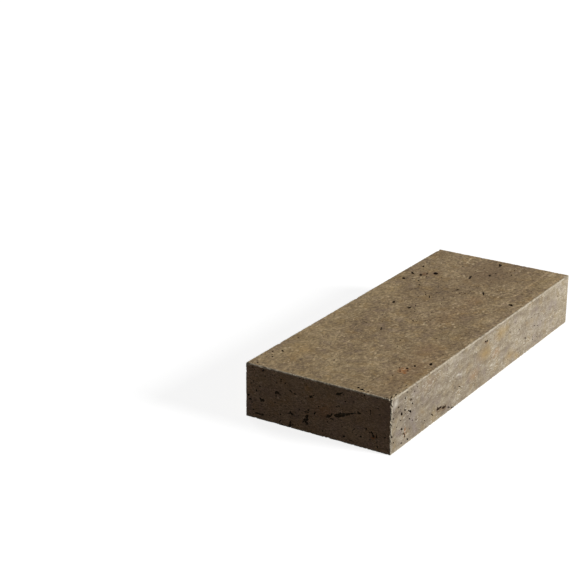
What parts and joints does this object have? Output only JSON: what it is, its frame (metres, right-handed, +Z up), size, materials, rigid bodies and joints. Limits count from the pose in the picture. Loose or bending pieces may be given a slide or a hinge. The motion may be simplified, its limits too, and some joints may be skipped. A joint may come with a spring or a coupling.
{
  "type": "stone block step",
  "caption": "Solid block step sawn from brown porous travertine, with open pores and lightly worn arrises, laid on its bed as one tread and riser.",
  "frame": {"origin": "middle of the bed, the face that the block lies on", "axes": "+X along the step, to the right of someone who looks at the riser; -Y out of the riser, towards that person; +Z up, out of the tread"},
  "size_m": [1, 0.4, 0.14],
  "materials": {
    "travertine": "matte"
  },
  "bodies": {
    "root": {"block_step": "travertine"}
  },
  "joints": []
}
